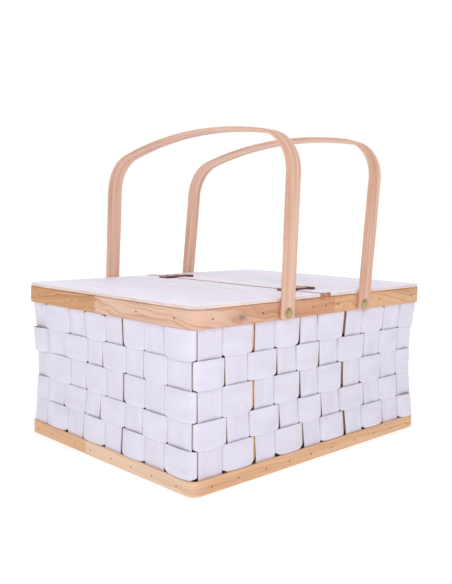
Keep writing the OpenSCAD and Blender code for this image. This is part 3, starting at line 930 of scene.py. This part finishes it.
def lid_outline(side):
    """Points of a lid's edge at an inset, for the left (-1) or right (1) lid."""
    def outline(inset):
        outer_r, inner_r = max(LID_R - inset, 0.3), max(LID_INNER_R - inset, 0.2)
        outer_x, outer_y = LID_OUT - inset - outer_r, LID_HALF_Y - inset - outer_r
        inner_x, inner_y = LID_IN + inset + inner_r, LID_HALF_Y - inset - inner_r
        corners = ((outer_x, outer_y, outer_r, 0), (inner_x, inner_y, inner_r, 90),
                   (inner_x, -inner_y, inner_r, 180), (outer_x, -outer_y, outer_r, 270))
        points = []
        for x, y, radius, start in corners:
            for turn in np.radians(np.linspace(start, start + 90, 9)):
                points.append((side * (x + radius * math.cos(turn)), y + radius * math.sin(turn)))
        return points
    return outline


def build_lids():
    for name, side, body in (("lid_left", -1, "left_lid"), ("lid_right", 1, "right_lid")):
        piece = Piece(name)
        piece.plate(lid_outline(side), LID_BOTTOM, LID_TOP, 0.5, 1.0, 0.36, 0.0, turned=True)
        piece.make(lid_wood, "lid_plywood", body, name)


def build_bar():
    half_x, half_y = bar_high[0], bar_high[1]

    def outline(inset):
        x, y = half_x - inset, half_y - inset
        return [(x, -y), (x, 0), (x, y), (0, y), (-x, y), (-x, 0), (-x, -y), (0, -y)]

    piece = Piece("centre_bar")
    piece.plate(outline, bar_low[2], BAR_TOP, 0.5, 1.0, 0.0, 0.0, turned=True)
    piece.make(bar_wood, "lid_plywood", "basket", "centre_bar")


def ease_edges(node, material, width_mm):
    """A carried-over CAD node with eased edges and its own material."""
    piece = frame["nodes"][node]
    weld = piece.modifiers.new("weld", "WELD")
    weld.merge_threshold = 0.01 * MM
    bevel = piece.modifiers.new("eased", "BEVEL")
    bevel.width = width_mm * MM
    bevel.segments = 2
    bevel.limit_method = "ANGLE"
    bevel.angle_limit = math.radians(40)
    piece.data.materials.clear()
    piece.data.materials.append(material)


build_lids()
build_bar()
ease_edges("base_board", board_wood, 0.6)
for batten in ("rim_batten_front", "rim_batten_back"):
    ease_edges(batten, batten_wood, 0.5)
for batten in ("rim_batten_left", "rim_batten_right"):
    ease_edges(batten, end_batten_wood, 0.5)


# ---- Leather straps and their screws -----------------------------------

SCREW_X = 18.25
STRAP_DROP = 0.3
STRAP_CORNER = 1.6
SCREW_HEAD_R, SCREW_HEAD_T = 2.8, 1.25

# Where a strap's underside steps down from the bar to the lid, and over what distance
STEP_START, STEP_RUN = 9.3, 3


def strap_faces(x, hump):
    """Heights of a strap's under and upper face at distances x from the middle of the bar."""
    raised = hump * np.exp(-((x - 12.5) / 3.6) ** 2)
    press = -0.12 * np.exp(-((x - SCREW_X) / 4) ** 2) - 0.12 * np.exp(-(x / 4) ** 2)
    under = BAR_TOP + (LID_TOP - BAR_TOP) * smooth((x - STEP_START) / STEP_RUN) + 0.04 + raised
    upper = BAR_TOP + STRAP_T + raised + press - STRAP_DROP * smooth((x - STEP_START) / 8)
    upper -= 0.3 * smooth((x - STRAP_END + 1) / 1)
    return under, upper


def build_strap(name, y, side, hump, nodes):
    """Half of a hinge strap, from the middle of the bar out over one lid."""
    x = np.unique(np.concatenate([
        np.linspace(0, 6, 7), np.linspace(6, 13, 29), np.linspace(13, STRAP_END - 1, 12),
        STRAP_END - np.array([0.7, 0.4, 0.15, 0.0]),
    ]))
    from_corner = np.clip(STRAP_CORNER - (STRAP_END - x), 0, STRAP_CORNER)
    trim = STRAP_CORNER - np.sqrt(np.maximum(STRAP_CORNER ** 2 - from_corner ** 2, 0))
    half = STRAP_W / 2 - trim
    wobble = 0.25 * np.sin(x / 5 + y)
    origin = np.stack([side * x, np.full_like(x, y), np.zeros_like(x)], -1)
    # Rubbed wear and painted sheen along the top, palest near the hump; edge_paint of 0 gives the sides
    # painted shade
    rubbed_and_sheen = 0.6 + 0.4 * np.exp(-((x - 11) / 5) ** 2)
    piece = Piece(name)
    piece.sweep(
        PLAIN, origin, UP, (0.0, 1.0, 0.0), wobble * 0.4 - half, half + wobble,
        *strap_faces(x, hump), 0.3, x,
        seed=side + y / 100, paint=1.0, edge_paint=0.0, tint=rubbed_and_sheen,
    )
    made = piece.make(hinge_leather, "hinge_leather", None, *nodes)
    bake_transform(made)


def build_straps():
    """Two straps, each in two halves. A half stands for its CAD tab, and the left one for
    the middle tab too."""
    for place, y, hump in (("front", STRAP_YS[0], 0.7), ("back", STRAP_YS[1], 0.1)):
        build_strap(f"strap_{place}_left_half", y, -1, 0.1,
                    (f"strap_{place}_left", f"strap_{place}_centre"))
        build_strap(f"strap_{place}_right_half", y, 1, hump, (f"strap_{place}_right",))


def cut_slot(piece, centre, size):
    """Cuts a screwdriver slot into a finished piece."""
    bpy.ops.mesh.primitive_cube_add(location=[c * MM for c in centre])
    cutter = bpy.context.object
    cutter.scale = [s * MM / 2 for s in size]
    cut = piece.modifiers.new("slot", "BOOLEAN")
    cut.operation = "DIFFERENCE"
    cut.object = cutter
    cut.solver = "EXACT"
    bpy.context.view_layer.update()
    result = bpy.data.meshes.new_from_object(piece.evaluated_get(bpy.context.evaluated_depsgraph_get()))
    piece.modifiers.clear()
    piece.data = result
    bpy.data.objects.remove(cutter)


def screw_profile():
    """A domed head seated in the leather, and a pointed shank."""
    dome = [(SCREW_HEAD_R * math.sin(math.radians(a)), SCREW_HEAD_T * math.cos(math.radians(a)))
            for a in range(15, 91, 15)]
    shank = [(SCREW_HEAD_R - 0.3, -0.25), (1.2, -0.3), (1.2, -4.6), (0, -5.5)]
    return [(0, SCREW_HEAD_T)] + dome + shank


def build_screws():
    """One screw through each end of each strap, and one through its middle."""
    groups = (("left", -SCREW_X, STRAP_DROP, "left_lid"), ("centre", 0.0, 0.0, "basket"),
              ("right", SCREW_X, STRAP_DROP, "right_lid"))
    for place, x, drop, body in groups:
        piece = Piece(f"strap_screws_{place}")
        seat = BAR_TOP + STRAP_T - drop - 0.25
        for y in STRAP_YS:
            piece.lathe((x, y, seat), (0, 0, 1), screw_profile(), segments=32, seed=y)
        made = piece.make(screw_metal, "screw_brass", body, piece.name)
        for y in STRAP_YS:
            cut_slot(made, (x, y, seat + SCREW_HEAD_T + 0.55), (0.7, 8, 2.2))


build_straps()
build_screws()


# ---- Handles, rivets and washers ---------------------------------------

HANDLE_W, HANDLE_T = 22, 4.2
HANDLE_H, BEND_R, CROWN_R, CROWN_SHIFT = 214.5, 50, 600, -38
LEG_END, LEG_CORNER = 7.5, 4
LEG_Y = node_box("handle_left")[1][1] - HANDLE_T / 2
LEFT_LEAN, RIGHT_LEAN = math.radians(2), math.radians(5.5)

RIVET_HEAD_R, DOME_T, SHANK_R = 6.0, 2.05, 2.5
WASHER_R, WASHER_T = 5.0, 1.0
RIVET_OUTER = node_box("handle_rivets")[1][1]
RIVET_INNER = node_box("rivet_washers")[1][1] - WASHER_T


def handle_line():
    """Middle line of an upright handle: points (y, height) and outward directions."""
    bend_y, crown_h, reach = LEG_Y - BEND_R, HANDLE_H - CROWN_R, CROWN_R - BEND_R
    tip = [LEG_CORNER * (1 - math.cos(math.radians(a))) - LEG_END for a in range(0, 91, 15)]
    sides, turns = [], []
    for side in (-1, 1):
        along = bend_y - side * CROWN_SHIFT
        bend_h = crown_h + math.sqrt(reach ** 2 - along ** 2)
        turns.append(math.acos(along / reach))
        points = [(side * LEG_Y, h, side, 0.0) for h in tip + list(np.arange(0, bend_h, 6.0))]
        for turn in np.linspace(0, turns[-1], 24):
            c, s = math.cos(turn), math.sin(turn)
            points.append((side * (bend_y + BEND_R * c), bend_h + BEND_R * s, side * c, s))
        sides.append(points)
    crown = []
    for turn in np.linspace(turns[0], math.pi - turns[1], 50)[1:-1]:
        c, s = math.cos(turn), math.sin(turn)
        crown.append((CROWN_SHIFT - CROWN_R * c, crown_h + CROWN_R * s, -c, s))
    return np.array(sides[0] + crown + sides[1][::-1])


def build_handle(side, lean, seed):
    """A bentwood strip, eased along its edges and rounded off below the rivets."""
    body = f"{side}_handle"
    pivot = joint_at[f"{body}_pivot"]
    y, h, ny, nh = handle_line().T
    step = np.hypot(np.diff(y), np.diff(h))
    s = np.concatenate([[0], np.cumsum(step)])
    from_end = np.minimum(s, s[-1] - s)
    short = np.clip(LEG_CORNER - from_end, 0, LEG_CORNER)
    half = HANDLE_W / 2 - LEG_CORNER + np.sqrt(LEG_CORNER ** 2 - short ** 2)
    draw = random.Random(seed)
    wide = 0.25 * np.sin(s / draw.uniform(60, 90) + draw.uniform(0, 6))
    sway = 0.35 * np.sin(s / draw.uniform(90, 130) + draw.uniform(0, 6)) * smooth((from_end - 40) / 60)
    c, g = math.cos(lean), math.sin(lean)
    origin = np.stack([pivot[0] + h * g, y, pivot[2] + h * c], -1)
    out = np.stack([nh * g, ny, nh * c], -1)
    piece = Piece(f"handle_{side}")
    piece.sweep(PLAIN, origin, out, (c, 0.0, -g), sway - half - wide * 0.5, sway + half + wide * 0.5,
                -HANDLE_T / 2, HANDLE_T / 2, 1.25, s, seed=seed)
    piece.make(handle_wood, "handle_bentwood", body, piece.name)


def rivet_profile():
    """A domed head outside, a shank, and a peened end over the washer inside."""
    seat = RIVET_OUTER - DOME_T - 0.25
    ball = (RIVET_HEAD_R ** 2 + DOME_T ** 2) / (2 * DOME_T)
    dome = [(ball * math.sin(a), RIVET_OUTER - ball + ball * math.cos(a))
            for a in np.linspace(0, math.asin(RIVET_HEAD_R / ball), 9)[1:]]
    under = [(RIVET_HEAD_R, seat + 0.1), (RIVET_HEAD_R - 0.25, seat - 0.1), (SHANK_R, seat - 0.1)]
    peened = [(SHANK_R, RIVET_INNER), (3.6, RIVET_INNER - 0.1), (3.5, RIVET_INNER - 0.8),
              (2.2, RIVET_INNER - 1.2), (0, RIVET_INNER - 1.3)]
    return [(0, RIVET_OUTER)] + dome + under + peened


def washer_profile():
    """A flat ring with eased edges."""
    low, high = RIVET_INNER, RIVET_INNER + WASHER_T
    return [(SHANK_R, high), (WASHER_R - 0.3, high), (WASHER_R, high - 0.2), (WASHER_R, low + 0.2),
            (WASHER_R - 0.3, low), (SHANK_R, low)]


def build_rivets():
    """Brass rivets through legs, rim and battens, each with its washer inside."""
    rivets, washers = Piece("handle_rivets"), Piece("rivet_washers")
    pivot_x, _, pivot_z = joint_at["right_handle_pivot"]
    for x in (-pivot_x, pivot_x):
        for way in (-1, 1):
            rivets.lathe((x, 0, pivot_z), (0, way, 0), rivet_profile(), segments=40, seed=x + way)
            washers.lathe((x, 0, pivot_z), (0, way, 0), washer_profile(), segments=32, seed=x - way)
    rivets.make(brass, "rivet_brass", "basket", "handle_rivets")
    washers.make(brass, "rivet_brass", "basket", "rivet_washers")


build_handle("left", LEFT_LEAN, 21)
build_handle("right", RIGHT_LEAN, 22)
build_rivets()


# ---- Floor, light and camera -------------------------------------------

FLOOR_HALF = 6.0

# The white surround dims over a short way above this height of view, to this strength
SKY_EDGE, SKY_TOP = 0.3, 0.4
KEY_POWER, TOP_POWER = 2.2, 20.0

CAMERA_AZIMUTH, CAMERA_ELEVATION, CAMERA_ROLL = math.radians(-43.78), math.radians(5.93), math.radians(0.7)
CAMERA_DISTANCE, CAMERA_SIDE, CAMERA_HEIGHT = 1.02279, -0.00404, 0.19052
CAMERA_LENS = 46.05


def build_floor():
    """Pale paper that glows, more strongly far from the basket."""
    mesh = bpy.data.meshes.new("floor")
    corners = [(x * FLOOR_HALF, y * FLOOR_HALF, 0) for x, y in ((-1, -1), (1, -1), (1, 1), (-1, 1))]
    mesh.from_pydata(corners, [], [(0, 1, 2, 3)])
    floor = bpy.data.objects.new("floor", mesh)
    bpy.context.scene.collection.objects.link(floor)
    shader = Shader("floor_paper", roughness=0.9)
    shader.bsdf.inputs["Base Color"].default_value = (0.6, 0.6, 0.6, 1)
    shader.bsdf.inputs["Emission Color"].default_value = (1, 1, 1, 1)
    place = shader.new("TexCoord", {}).outputs["Object"]
    away = shader.length(place)
    # The paper glows, more strongly far from the basket
    shader.link(shader.rescale(away, 0.9, 2.2, 0.57, 0.85), "Emission Strength")
    shader.bsdf.inputs["Specular IOR Level"].default_value = 0.0
    mesh.materials.append(shader.material)


def area_light(name, place, size, power):
    """A round soft light aimed at the middle of the basket."""
    target = Vector((0, 0, 0.15))
    data = bpy.data.lights.new(name, "AREA")
    data.shape = "DISK"
    data.size = size
    data.energy = power
    lamp = bpy.data.objects.new(name, data)
    lamp.location = place
    lamp.rotation_mode = "QUATERNION"
    lamp.rotation_quaternion = (target - Vector(place)).to_track_quat("-Z", "Y")
    bpy.context.scene.collection.objects.link(lamp)


def build_surround():
    """A white surround, dimmer overhead."""
    world = bpy.data.worlds.new("studio")
    world.use_nodes = True
    tree = world.node_tree
    background = tree.nodes["Background"]
    background.inputs["Color"].default_value = (1, 1, 1, 1)
    direction = tree.nodes.new("ShaderNodeTexCoord")
    height = tree.nodes.new("ShaderNodeSeparateXYZ")
    fade = tree.nodes.new("ShaderNodeMapRange")
    fade.inputs["From Min"].default_value = SKY_EDGE
    fade.inputs["From Max"].default_value = SKY_EDGE + 0.2
    fade.inputs["To Min"].default_value = 1.0
    fade.inputs["To Max"].default_value = SKY_TOP
    tree.links.new(direction.outputs["Generated"], height.inputs[0])
    tree.links.new(height.outputs["Z"], fade.inputs["Value"])
    tree.links.new(fade.outputs[0], background.inputs["Strength"])
    bpy.context.scene.world = world


def build_light():
    """The surround, a soft key beside the camera and a large light above."""
    build_surround()
    area_light("key", (-0.74, -0.7, 0.58), 0.5, KEY_POWER)
    area_light("top", (0.1, 0.1, 2.2), 1.6, TOP_POWER)
    bpy.context.scene.view_settings.view_transform = "Standard"


def build_camera():
    """The camera, turned round the basket, raised above it, and slightly rolled."""
    a, e, r = CAMERA_AZIMUTH, CAMERA_ELEVATION, CAMERA_ROLL
    back = Vector((math.sin(a) * math.cos(e), -math.cos(a) * math.cos(e), math.sin(e)))
    right = Vector((math.cos(a), math.sin(a), 0))
    up = back.cross(right)
    place = back * CAMERA_DISTANCE + right * CAMERA_SIDE + Vector((0, 0, CAMERA_HEIGHT))
    rolled_right = math.cos(r) * right + math.sin(r) * up
    rolled_up = math.cos(r) * up - math.sin(r) * right
    data = bpy.data.cameras.new("camera")
    data.lens = CAMERA_LENS
    data.clip_start, data.clip_end = 0.05, 50
    camera = bpy.data.objects.new("camera", data)
    axes = Matrix((rolled_right, rolled_up, back)).transposed().to_4x4()
    camera.matrix_world = Matrix.Translation(place) @ axes
    bpy.context.scene.collection.objects.link(camera)
    bpy.context.scene.camera = camera


build_floor()
build_light()
build_camera()
